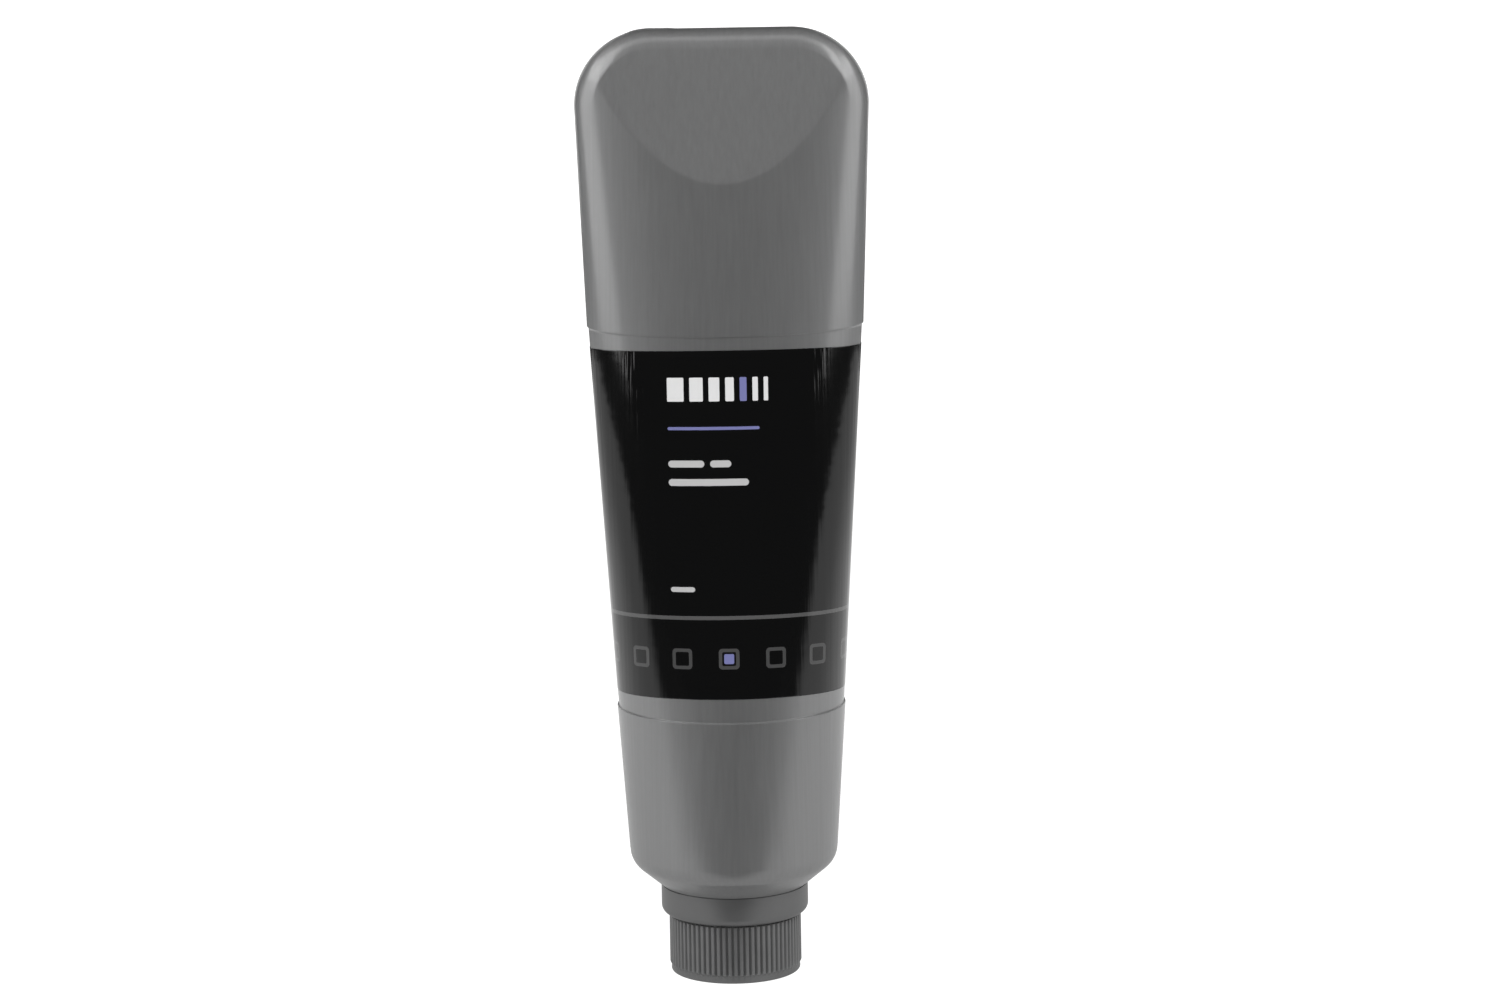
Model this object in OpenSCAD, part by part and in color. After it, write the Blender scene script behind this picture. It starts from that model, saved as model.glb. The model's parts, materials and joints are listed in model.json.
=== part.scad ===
// Squeeze tube of grease that stands on its screw cap: round at the shoulder, flat and wide at the tail

/* [Tube] */
// Diameter of the round shoulder
shoulder_d = 54; // [50:0.5:57]
// Slope of the shoulder cone, degrees from level
shoulder_angle = 40; // [34:1:45]
// Radius between the shoulder cone and the wall above it
shoulder_round = 6; // [3:0.5:8]
// Height of the plain wall from the shoulder to the lower ledge
base_h = 38.6; // [30:0.1:48]
// Width at the lower ledge
low_step_w = 59.2; // [57:0.1:62]
// Height of the recessed panel between the ledges
panel_h = 100.4; // [90:0.1:110]
// Width at the upper ledge
top_step_w = 71.3; // [68:0.1:74]
// Depth from front to back at the upper ledge
top_step_d = 31.7; // [28:0.1:36]
// How far the panel lies below the wall around it
panel_recess = 0.4; // [0.3:0.05:0.6]
// Thickness of the tube's wall
wall = 1; // [0.7:0.05:1.4]

/* [Tail] */
// Height of the tail above the upper ledge
tail_h = 78; // [70:0.5:88]
// Width of the tail where its corners start
tail_w = 75.7; // [73:0.1:79]
// Radius of the tail's two corners
corner_r = 20; // [15:0.5:26]
// Height of the flat on each face of the tail
flat_h = 38.5; // [32:0.5:46]
// Thickness that the two flats close to at the top
tail_edge_t = 4.4; // [3.6:0.1:6]
// Width of the rounded rim around the tail's corners and top
rim_w = 4.6; // [3:0.1:6]

/* [Neck] */
// Outside diameter of the neck under its thread
neck_d = 27.8; // [26:0.1:28.6]
// Diameter of the mouth
mouth_d = 24; // [20:0.1:25]
// How far the bead that holds the ring stands out from the root of the neck
bead_h = 1; // [0.7:0.05:1.2]
// Height of the bead
bead_t = 1.6; // [1.3:0.1:2]

/* [Thread] */
// Rise of the thread in one turn
pitch = 3.5; // [3.2:0.05:4]
// Height of the thread from root to crest
thread_h = 0.9; // [0.7:0.05:1]
// Width of the thread at its root
thread_w = 1.6; // [1.2:0.05:1.7]
// Gap between a crest and the root that it faces
thread_gap = 0.3; // [0.2:0.05:0.4]
// Height of the thread's start above the mouth
thread_start = 2.2; // [1.6:0.1:2.6]
// Height of the plain bore between the cap's thread and its rim
rim_land = 0.8; // [0.4:0.1:2]

/* [Cap] */
// Height of the cap
cap_h = 15.4; // [13.4:0.1:18]
// Diameter of the cap between its ribs
cap_d = 33.6; // [32.8:0.1:34.2]
// Thickness of the cap's end
cap_end_t = 1.5; // [1.2:0.1:2]
// Height of the smooth band at the cap's end
band_h = 1.9; // [1.2:0.1:3]
// Radius of the cap's end edge
cap_edge_r = 0.6; // [0.3:0.1:1]
// Number of ribs around the cap
rib_count = 70; // [48:1:80]
// Height of a rib
rib_h = 0.35; // [0.2:0.05:0.5]

/* [Ring] */
// Outside diameter of the ring
ring_d = 38.2; // [37:0.1:39.4]
// Thickness of the ring's wall around the bead
ring_wall = 2.6; // [2.2:0.1:3]
// Height of the ring
ring_h = 7.6; // [7.2:0.1:9]
// Radius of the ring's edge beside the cap
ring_edge_r = 2; // [1:0.1:2.3]
// Thickness of the lip that catches the bead
lip_t = 1.2; // [0.9:0.1:1.6]
// Number of tear bridges left on the ring
bridge_count = 10; // [6:1:14]
// Width of a tear bridge around the ring
bridge_w = 0.8; // [0.5:0.1:1.2]
// Length of a tear bridge across the ring's edge
bridge_l = 0.6; // [0.4:0.1:0.8]

/* [Label and filling] */
// Thickness of the label film
label_t = 0.12; // [0.08:0.01:0.16]
// Height of the label's lower edge above the lower ledge, at the sides
label_low = 4.3; // [2:0.1:8]
// Height of the label's upper edge below the upper ledge, at the sides
label_high = 5.4; // [3:0.1:8]
// How much higher the label's edges lie at the front than at the sides
label_rise = 2; // [0:0.1:2.6]
// Thickness of the liner in the cap
liner_t = 0.9; // [0.6:0.1:1.4]
// Thickness of the foil over the mouth
foil_t = 0.15; // [0.1:0.01:0.25]
// Height of the empty space above the grease, at the tail
head_h = 9; // [4:0.5:20]

/* [Clearances] */
// Gap between the cap's rim and the ring, and between the ring and the root of the neck
ring_gap = 0.3; // [0.2:0.05:0.4]
// Gap between the ring and the neck that it turns on
ring_play = 0.3; // [0.2:0.05:0.35]
// Gap between the ring and the shoulder cone
shoulder_gap = 0.35; // [0.3:0.05:0.6]
// Gap between stacked flat pieces in the cap
seat_gap = 0.05; // [0.03:0.01:0.1]
// Gap between the label film and the panel
film_gap = 0.05; // [0.04:0.01:0.08]
// Gap between the grease and the wall
fill_gap = 0.2; // [0.15:0.05:0.4]

/* [Hidden] */
$fn = 72;
eps = 0.01;

// Points around each section of the tube, and steps of its round edges
around = 72;
arc_steps = 8;
// Steps of the thread in one turn, and how deep its foot is set into the wall
thread_steps = 30;
thread_foot = 0.4;
// How far the tube's wall is tucked into the shoulder, how far it is narrowed there, and its lap above
tuck = 0.8;
tuck_in = 0.25;
lap = 0.1;
// Angles of the tail's corner at which a section is taken
rim_angles = [6, 13, 20, 28, 36, 44, 52, 60, 67, 73, 78, 82, 85.5, 88];
// Share of a rib that is its top, and that is its slope
rib_top = 0.3;
rib_slope = 0.2;
// Power that eases the rise of the label's edge into the sides
label_ease = 1.2;

// Heights, from the cap's end face up
liner_z = cap_end_t + seat_gap;
foil_z = liner_z + liner_t + seat_gap;
neck_tip = foil_z + foil_t;
thread_z = neck_tip + thread_start;
cap_thread_z = thread_z + pitch / 2;
thread_turns = (cap_h - rim_land - thread_w / 2 - cap_thread_z) / pitch;
ring_z = cap_h + ring_gap;
ring_top = ring_z + ring_h;
root_z = ring_z + ring_gap;
bead_z = root_z + ring_gap;
bead_top = bead_z + bead_h + bead_t;
lip_z = bead_top + ring_play;
cone_z = ring_top + shoulder_gap;
shoulder_top = cone(shoulder_d / 2) + shoulder_round * tan((90 - shoulder_angle) / 2);
low_step = shoulder_top + base_h;
top_step = low_step + panel_h;
tail_top = top_step + tail_h;
corner_z = tail_top - corner_r;
corner_x = tail_w / 2 - corner_r;
flat_z = tail_top - flat_h;
fill_top = tail_top - head_h;

// Radii and rates that follow
neck_r = neck_d / 2;
crest_r = neck_r + thread_h;
bore_r = crest_r + thread_gap;
ring_bore_r = ring_d / 2 - ring_wall;
bead_r = ring_bore_r - ring_play;
root_r = bead_r - bead_h;
lip_r = root_r + ring_play;
depth_rate = (top_step_d - shoulder_d) / 2 / (top_step - shoulder_top);
flat_rate = (half_depth(flat_z, 0) - tail_edge_t / 2) / flat_h;
tail_rate = (tail_w - top_step_w) / (corner_z - top_step);
width_line = [
    [shoulder_top, shoulder_d], [low_step, low_step_w], [top_step, top_step_w],
    [corner_z, tail_w], [tail_top, tail_w + tail_rate * corner_r]
];

function mix(a, b, t) = a + (b - a) * t;
function steps(a, b, n) = [for (i = [0:n]) mix(a, b, i / n)];

// Height of the shoulder cone's outside at a radius
function cone(r) = cone_z + (r - ring_d / 2) * tan(shoulder_angle);

// Round of the shoulder from the wall down to the cone, on an arc of radius r
function shoulder_arc(r) = [
    for (t = steps(0, shoulder_angle - 90, arc_steps))
        [shoulder_d / 2 - shoulder_round + r * cos(t), shoulder_top + r * sin(t)]
];

// Half width, half depth and outline of the tube at height z, drawn in by g
function half_width(z, g) = lookup(z, width_line) / 2 - g;
function half_depth(z, g) = shoulder_d / 2 + depth_rate * (z - shoulder_top) - g;
function outline(z, g) = z <= corner_z ? half_width(z, g)
    : corner_x + sqrt(max(0, pow(corner_r - g, 2) - pow(z - corner_z, 2)));

// Half depth of a face at a point: the oval wall, or the flat of the tail where that lies deeper
function face_depth(x, z, g) =
    min(half_depth(z, g) * sqrt(max(0, 1 - pow(x / half_width(z, g), 2))),
        tail_edge_t / 2 + flat_rate * (tail_top - z) - g);

// Curve of the rim from the edge to the face, the same as that of the oval's side
function rim_curve(share) = sqrt(1 - pow(1 - share * 2 * rim_w / tail_w, 2));

// Half depth at a point: inside the rim it is that of the face, and from there it runs out to the edge
function wall_depth(x, z, g) =
    let (
        dx = max(0, x - corner_x),
        dz = max(0, z - corner_z),
        away = norm([dx, dz]),
        share = max(0, corner_r - g - away) / rim_w,
        back = (corner_r - g - rim_w) / max(away, eps)
    )
    dz == 0 || share >= 1 ? face_depth(x, z, g)
        : face_depth(min(x, corner_x) + dx * back, corner_z + dz * back, g)
            * rim_curve(share) / rim_curve(1);

function wall_point(u, z, g) =
    let (x = outline(z, g) * cos(u))
    [x, sign(sin(u)) * wall_depth(abs(x), z, g), z];

function turns_of(n) = [for (i = [0:n - 1]) (i + 0.5) * 360 / n];
function section(z, g, n) = [for (u = turns_of(n)) wall_point(u, z, g)];
function circle_section(r, z, n) = [for (u = turns_of(n)) [r * cos(u), r * sin(u), z]];

// Sections of the tube's outside and inside, as heights and how far each is drawn in
wall_sections = concat(
    [[shoulder_top - tuck, tuck_in]],
    [for (z = steps(shoulder_top + lap, low_step, 3)) [z, 0]],
    [for (z = steps(low_step, top_step, 8)) [z, panel_recess]],
    [for (z = steps(top_step, flat_z, 4)) [z, 0]],
    [for (z = steps(flat_z, corner_z, 9)) if (z > flat_z) [z, 0]],
    [for (a = rim_angles) [corner_z + corner_r * sin(a), 0]]
);
function cavity_sections(g) = concat(
    [[shoulder_top + lap, g], [low_step - wall, g]],
    [for (z = steps(low_step, top_step, 4)) [z, g + panel_recess]],
    [[top_step + wall, g]],
    [for (z = steps(flat_z, corner_z, 5)) [z, g]],
    [for (a = rim_angles) [corner_z + (corner_r - g) * sin(a), g]]
);

// Faces between rings of n points that follow each other upwards
function ring_faces(rows, n) = [
    for (k = [0:rows - 2], i = [0:n - 1])
        let (j = (i + 1) % n, a = k * n, b = a + n)
        each [[a + i, b + i, b + j], [a + i, b + j, a + j]]
];
function end_face(row, n) = [for (i = [0:n - 1]) row * n + i];
function turned(list) = [for (i = [len(list) - 1:-1:0]) list[i]];

// Closed skin over rings that follow each other; they may run down an inside and up an outside
module loft(rings, n) {
    rows = len(rings);
    polyhedron([for (r = rings) each r],
        concat(ring_faces(rows, n), [end_face(0, n), turned(end_face(rows - 1, n))]));
}

// Helical ridge from a foot radius to a crest radius, starting at height z
module thread(foot_r, top_r, z) {
    n = round(thread_turns * thread_steps);
    // The foot is widened with the ridge's own slope, so that its width at the wall is thread_w
    slope = thread_w / 4 / thread_h;
    top_w = thread_w / 2;
    foot_w = top_w + 2 * slope * abs(top_r - foot_r);
    rings = [
        for (i = [0:n])
            let (u = i * 360 / thread_steps, h = z + pitch * i / thread_steps)
            [for (p = [[foot_r, -foot_w], [top_r, -top_w], [top_r, top_w], [foot_r, foot_w]])
                [p[0] * cos(u), p[0] * sin(u), h + p[1] / 2]]
    ];
    points = [for (r = rings) each r];
    faces = concat(ring_faces(n + 1, 4), [end_face(0, 4), turned(end_face(n, 4))]);
    polyhedron(points, top_r > foot_r ? [for (f = faces) turned(f)] : faces);
}

// Neck with its bead, shoulder cone and shoulder round, as one turned wall
module neck_and_shoulder() {
    rotate_extrude()
        polygon(concat(
            [
                [mouth_d / 2, neck_tip], [neck_r, neck_tip], [neck_r, root_z], [root_r, root_z],
                [root_r, bead_z], [bead_r, bead_z + bead_h], [bead_r, bead_top],
                [root_r, bead_top], [root_r, cone(root_r)]
            ],
            turned(shoulder_arc(shoulder_round)),
            shoulder_arc(shoulder_round - wall),
            [[mouth_d / 2, cone(mouth_d / 2) + wall / cos(shoulder_angle)]]
        ));
}

module tube_body() {
    color([0.45, 0.45, 0.46])
        union() {
            neck_and_shoulder();
            thread(neck_r - thread_foot, crest_r, thread_z);
            loft([
                for (s = concat(
                    turned(cavity_sections(wall)), [[shoulder_top - tuck, wall - tuck_in]], wall_sections))
                    section(s[0], s[1], around)
            ], around);
        }
}

// Ring of the label at a share t of its height, drawn in by g
function label_ring(t, g) = [
    for (u = turns_of(around))
        let (rise = label_rise * pow(abs(sin(u)), label_ease))
        wall_point(u, mix(low_step + label_low, top_step - label_high, t) + rise, g)
];

module label_film() {
    inner = panel_recess - film_gap;
    levels = steps(0, 1, 8);
    rings = concat(
        [for (t = levels) label_ring(t, inner - label_t)],
        [for (t = turned(levels)) label_ring(t, inner)],
        [label_ring(0, inner - label_t)]);
    rows = len(rings) - 1;
    n = around;
    color([0.03, 0.03, 0.035])
        polyhedron([for (i = [0:rows - 1]) each rings[i]], [
            for (k = [0:rows - 1], i = [0:n - 1])
                let (j = (i + 1) % n, a = k * n, b = (k + 1) % rows * n)
                each [[a + i, b + i, b + j], [a + i, b + j, a + j]]
        ]);
}

module grease_fill() {
    n = around / 2;
    g = wall + fill_gap;
    r = mouth_d / 2 - fill_gap;
    low = [
        for (p = turned(shoulder_arc(shoulder_round - g)))
            circle_section(p[0], p[1], n)
    ];
    high = [
        for (s = cavity_sections(g)) if (s[0] > shoulder_top + lap && s[0] < fill_top - lap)
            section(s[0], s[1], n)
    ];
    color([0.13, 0.13, 0.14])
        loft(concat(
            [
                circle_section(r, neck_tip + fill_gap, n),
                circle_section(r, cone(r) + g / cos(shoulder_angle), n)
            ],
            low, high, [section(fill_top, g, n)]), n);
}

module foil_seal() {
    color([0.75, 0.76, 0.78])
        translate([0, 0, foil_z])
            cylinder(d = neck_d, h = foil_t);
}

module cap_liner() {
    color([0.9, 0.9, 0.88])
        translate([0, 0, liner_z])
            cylinder(d = neck_d, h = liner_t);
}

// Outline of the ribbed cap, four points to a rib
module ribbed_outline() {
    step = 360 / rib_count;
    polygon([
        for (i = [0:rib_count - 1], p = [[0, 0], [rib_slope, rib_h], [rib_slope + rib_top, rib_h],
                                         [2 * rib_slope + rib_top, 0]])
            let (a = (i + p[0]) * step, r = cap_d / 2 + p[1])
            [r * cos(a), r * sin(a)]
    ]);
}

module screw_cap() {
    color([0.33, 0.33, 0.34])
        union() {
            difference() {
                union() {
                    translate([0, 0, band_h])
                        linear_extrude(cap_h - band_h)
                            ribbed_outline();
                    rotate_extrude()
                        polygon(concat(
                            [[0, 0]],
                            [for (t = steps(-90, 0, arc_steps))
                                [cap_d / 2 - cap_edge_r * (1 - cos(t)), cap_edge_r * (1 + sin(t))]],
                            [[cap_d / 2, band_h + eps], [0, band_h + eps]]));
                }
                translate([0, 0, cap_end_t])
                    cylinder(r = bore_r, h = cap_h);
            }
            thread(bore_r + thread_foot, bore_r - thread_h, cap_thread_z);
        }
}

module tamper_ring() {
    // The rounded edge stops where the bridges stand
    edge_r = min(ring_edge_r, ring_wall - bridge_l);
    edge = ring_d / 2 - edge_r;
    color([0.33, 0.33, 0.34])
        union() {
            rotate_extrude()
                polygon(concat(
                    [[ring_bore_r, ring_z]],
                    [for (t = steps(-90, 0, arc_steps))
                        [edge + edge_r * cos(t), ring_z + edge_r * (1 + sin(t))]],
                    [
                        [ring_d / 2, ring_top],
                        [ring_bore_r, ring_top - ring_wall * tan(shoulder_angle)],
                        [ring_bore_r, lip_z + lip_t], [lip_r, lip_z + lip_t], [lip_r, lip_z],
                        [ring_bore_r, lip_z]
                    ]));
            for (i = [0:bridge_count - 1])
                rotate(i * 360 / bridge_count)
                    translate([ring_bore_r, -bridge_w / 2, ring_z - ring_gap / 2])
                        cube([bridge_l, bridge_w, ring_gap]);
        }
}

tube_body();
label_film();
grease_fill();
foil_seal();
screw_cap();
cap_liner();
tamper_ring();
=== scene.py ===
import json
import math
from functools import reduce
from itertools import accumulate

import bmesh
import bpy
from mathutils import Matrix, Vector


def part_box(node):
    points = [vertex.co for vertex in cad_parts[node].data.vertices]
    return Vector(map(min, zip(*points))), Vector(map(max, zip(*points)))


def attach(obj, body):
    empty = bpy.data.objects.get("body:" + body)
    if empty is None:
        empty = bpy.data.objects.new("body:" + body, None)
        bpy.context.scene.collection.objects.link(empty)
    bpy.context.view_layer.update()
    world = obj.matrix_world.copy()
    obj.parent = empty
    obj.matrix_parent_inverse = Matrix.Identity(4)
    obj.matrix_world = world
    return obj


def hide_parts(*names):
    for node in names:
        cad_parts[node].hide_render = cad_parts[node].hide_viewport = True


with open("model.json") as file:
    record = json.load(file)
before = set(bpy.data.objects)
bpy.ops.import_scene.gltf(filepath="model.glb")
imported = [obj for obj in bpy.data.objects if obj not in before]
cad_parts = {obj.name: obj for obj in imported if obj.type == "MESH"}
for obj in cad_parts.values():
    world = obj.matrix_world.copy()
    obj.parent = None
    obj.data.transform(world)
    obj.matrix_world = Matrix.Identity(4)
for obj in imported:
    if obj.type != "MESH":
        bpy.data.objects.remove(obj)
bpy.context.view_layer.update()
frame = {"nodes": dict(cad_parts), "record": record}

scene = bpy.context.scene
mm = 0.001
mergeDistance = 0.0005 * mm
print("frame loaded with", len(frame["nodes"]), "nodes")


# Small tools for shapes

def mix(a, b, t):
    return a + (b - a) * t


def ease(low, high, value):
    t = min(1, max(0, (value - low) / (high - low)))
    return t * t * (3 - 2 * t)


def softMin(a, b, blend):
    blend = min(blend, (a + b) / 4)  # the blend dies out where the wall closes
    near = max(0, blend - abs(a - b)) / blend if blend > 0 else 0
    return min(a, b) - near * near * blend / 4


# A profile of (radius, height, rounding) corners in mm becomes a chain of edges, closed or open
def drawProfile(bm, corners, closed=False, segments=3):
    chain = [bm.verts.new((r * mm, 0, z * mm)) for r, z, _ in corners]
    for a, b in zip(chain, chain[1:]):
        bm.edges.new((a, b))
    if closed:
        bm.edges.new((chain[-1], chain[0]))
    for size in sorted({c[2] for c in corners if c[2] > 0}):
        bmesh.ops.bevel(bm, geom=[v for v, c in zip(chain, corners) if c[2] == size], offset=size * mm,
                        offset_type="OFFSET", segments=segments, profile=0.5, affect="VERTICES", material=-1)


# Long edges of a profile are cut to the spacing that suits their radius and height
def cutProfile(bm, spacing):
    for edge in list(bm.edges):
        middle = (edge.verts[0].co + edge.verts[1].co) / 2 / mm
        cuts = int(edge.calc_length() / mm / spacing(middle.x, middle.z))
        if cuts > 0:
            bmesh.ops.subdivide_edges(bm, edges=[edge], cuts=cuts)


# One sector is spun from the profile, then copied all the way round
def turnProfile(bm, sectors, steps):
    sector = math.tau / sectors
    about = {"cent": (0, 0, 0), "axis": (0, 0, 1), "dvec": (0, 0, 0)}
    bmesh.ops.spin(bm, geom=bm.verts[:] + bm.edges[:], angle=sector, steps=steps, **about)
    bmesh.ops.spin(bm, geom=bm.verts[:] + bm.edges[:] + bm.faces[:], angle=math.tau - sector,
                   steps=sectors - 1, use_duplicate=True, **about)
    bmesh.ops.remove_doubles(bm, verts=bm.verts, dist=mergeDistance)


# A ridge of four corners, spun and lifted at once, with both ends faded into the wall
def addThread(bm, footR, crestR, low, thread):
    turns, width, stepsPerTurn = thread["turns"], thread["width"], thread["stepsPerTurn"]
    slope = width / 4 / thread["height"]
    footW = width / 2 + 2 * slope * abs(crestR - footR)
    corners = [(footR, -footW / 2), (crestR, -width / 4), (crestR, width / 4), (footR, footW / 2)]
    ridge = bmesh.new()
    loop = [ridge.verts.new((r * mm, 0, (low + h) * mm)) for r, h in corners]
    edges = [ridge.edges.new((loop[i - 1], loop[i])) for i in range(4)]
    steps = round(turns * stepsPerTurn)
    bmesh.ops.spin(ridge, geom=loop + edges, cent=(0, 0, 0), axis=(0, 0, 1),
                   dvec=(0, 0, thread["pitch"] * mm / stepsPerTurn), angle=math.tau * steps / stepsPerTurn,
                   steps=steps, use_merge=False)
    bmesh.ops.holes_fill(ridge, edges=[e for e in ridge.edges if e.is_boundary], sides=4)
    high = low + turns * thread["pitch"]
    fade = thread["fade"] * thread["pitch"]
    for v in ridge.verts:
        h = v.co.z / mm
        left = ease(low, low + fade, h) * (1 - ease(high - fade, high, h))
        r = v.co.xy.length / mm
        v.co.xy *= mix(footR, r, max(thread["tip"], left)) / r
    mesh = bpy.data.meshes.new("thread")
    ridge.to_mesh(mesh)
    ridge.free()
    bm.from_mesh(mesh)
    bpy.data.meshes.remove(mesh)


# Closes a mesh, shades it and hands it to the frame
def makePiece(bm, name, body, node, finish, sharpAngle=35):
    bmesh.ops.remove_doubles(bm, verts=bm.verts, dist=mergeDistance)
    bmesh.ops.recalc_face_normals(bm, faces=bm.faces)
    mesh = bpy.data.meshes.new(name)
    bm.to_mesh(mesh)
    bm.free()
    mesh.shade_smooth()
    mesh.set_sharp_from_angle(angle=math.radians(sharpAngle))
    mesh.materials.append(finish)
    piece = bpy.data.objects.new(name, mesh)
    scene.collection.objects.link(piece)
    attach(piece, body)
    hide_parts(node)
    print(name, "has", len(mesh.polygons), "faces")


# Shader sockets that take part in Python expressions

class Wire:
    def __init__(self, tree, socket=None):
        self.tree = tree
        self.socket = socket

    # Adds any node: its type, its settings, then the values or links of its sockets
    def node(self, kind, settings=None, inputs=None, output=0):
        new = self.tree.nodes.new("ShaderNode" + kind)
        for key, value in (settings or {}).items():
            setattr(new, key, value)
        for key, value in (inputs or {}).items():
            if isinstance(value, Wire):
                self.tree.links.new(value.socket, new.inputs[key])
            else:
                new.inputs[key].default_value = value
        return Wire(self.tree, new.outputs[output])

    def maths(self, operation, a, b=0.0):
        return self.node("Math", {"operation": operation}, {0: a, 1: b})

    def __add__(self, other):
        return self.maths("ADD", self, other)

    __radd__ = __add__

    def __sub__(self, other):
        return self.maths("SUBTRACT", self, other)

    def __rsub__(self, other):
        return self.maths("SUBTRACT", other, self)

    def __mul__(self, other):
        return self.maths("MULTIPLY", self, other)

    __rmul__ = __mul__

    def __truediv__(self, other):
        return self.maths("DIVIDE", self, other)

    def __rtruediv__(self, other):
        return self.maths("DIVIDE", other, self)

    def __lt__(self, other):
        return self.maths("LESS_THAN", self, other)

    def __gt__(self, other):  # the reflected form of less than
        return self.maths("GREATER_THAN", self, other)

    def __mod__(self, other):
        return self.maths("FLOORED_MODULO", self, other)

    def __rmod__(self, other):
        return self.maths("FLOORED_MODULO", other, self)

    def __abs__(self):
        return self.maths("ABSOLUTE", self)

    def top(self, other):
        return self.maths("MAXIMUM", self, other)

    # Noise around zero, on coordinates scaled by one number or by one for each axis
    def noise(self, where, scale, detail=2.0, roughness=0.5):
        scales = scale if isinstance(scale, tuple) else (scale,) * 3
        stretched = self.node("Mapping", {"vector_type": "POINT"}, {"Vector": where, "Scale": scales})
        return self.node("TexNoise", None, {"Vector": stretched, "Scale": 1.0, "Detail": detail,
                                            "Roughness": roughness}) - 0.5

    # Colour that runs from one to another by a value; the Mix node keeps its colours on sockets 6, 7 and 2
    def blendColour(self, factor, first, second):
        return self.node("Mix", {"data_type": "RGBA"}, {0: factor, 6: first, 7: second}, 2)


def grey(level, tint=0.0):
    return (level, level * (1 + tint / 2), level * (1 + tint), 1)


# A new material: constants go on the shader's own sockets, and paint() links what varies
def newFinish(name, constants, paint):
    finish = bpy.data.materials.new(name)
    finish.use_nodes = True
    tree = finish.node_tree
    shader = tree.nodes["Principled BSDF"]
    for key, value in constants.items():
        shader.inputs[key].default_value = value
    for key, value in paint(Wire(tree)).items():
        tree.links.new(value.socket, shader.inputs[key])
    return finish


def objectPlace(wire):
    return wire.node("TexCoord", output="Object")


def axisOf(wire, place, axis):
    return wire.node("SeparateXYZ", None, {0: place}, axis)


def lengthOf(wire, place):
    return wire.node("VectorMath", {"operation": "LENGTH"}, {0: place}, "Value")


def bumpOf(wire, height, strength, distance):
    return wire.node("Bump", None, {"Strength": strength, "Distance": distance, "Height": height})


# Runs from start to end while the value goes from low to high, and holds beyond them
def rampOf(wire, value, low, high, start=0.0, end=1.0, kind="LINEAR"):
    return wire.node("MapRange", {"interpolation_type": kind},
                     {"Value": value, "From Min": low, "From Max": high, "To Min": start, "To Max": end})


def anyOf(masks):
    return reduce(Wire.top, masks)


# Silver-pigmented polyethylene: fine flakes, faint lines along the tube, a slightly uneven skin (depth in mm)
silverLook = {
    "level": 0.33, "tint": 0.01, "darkest": 0.72, "lightest": 1.28, "metal": 0.80, "ior": 1.5,
    "coat": 0.8, "coatRoughness": 0.20, "coatIor": 1.9,
    "roughness": 0.55, "lineRoughness": 0.10, "skinRoughness": 0.06,
    "flakeScale": 5200, "flakes": 0.10, "lineScale": (1000, 1000, 6), "lines": 0.45,
    "skinScale": 420, "skin": 0.02, "skinDepth": 0.1,
}


def paintSilver(wire):
    look = silverLook
    place = objectPlace(wire)
    flakes = wire.noise(place, look["flakeScale"], detail=1.0)
    lines = wire.noise(place, look["lineScale"], detail=3.0, roughness=0.6)
    skin = wire.noise(place, look["skinScale"])
    shade = flakes * look["flakes"] + lines * look["lines"] + 0.5
    dark = grey(look["level"] * look["darkest"], look["tint"])
    light = grey(look["level"] * look["lightest"], look["tint"])
    return {
        "Base Color": wire.blendColour(shade, dark, light),
        "Roughness": look["roughness"] + lines * look["lineRoughness"] + skin * look["skinRoughness"],
        "Normal": bumpOf(wire, skin, look["skin"], look["skinDepth"] * mm),
    }


silverWall = newFinish("silver_wall", {
    "Metallic": silverLook["metal"], "IOR": silverLook["ior"], "Coat Weight": silverLook["coat"],
    "Coat IOR": silverLook["coatIor"], "Coat Roughness": silverLook["coatRoughness"],
}, paintSilver)


# Dark grey moulded polypropylene with a fine spark-eroded grain. Painted highlights make it paler at the rib
# ends and the ring's lower edge (height and reach in mm) and on the crests of the ribs (radii in mm)
greyLook = {
    "level": 0.081, "tint": 0.02, "darkest": 0.75, "lightest": 1.75, "shade": 0.25, "ior": 2.2,
    "roughness": 0.35, "grainRoughness": 0.12, "cloudRoughness": 0.08,
    "grainScale": 3600, "grainShade": 0.25, "grain": 0.10, "grainDepth": 0.05,
    "cloudScale": 160, "cloudShade": 0.3, "ribEnds": (2.25, 0.45), "ringEdge": (16.2, 0.5), "edgeHighlight": 0.22,
    "crestFrom": 16.6, "crestTo": 17.15, "capTop": 15.4, "crestHighlight": 0.35, "crestCloud": 0.5,
}


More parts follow.
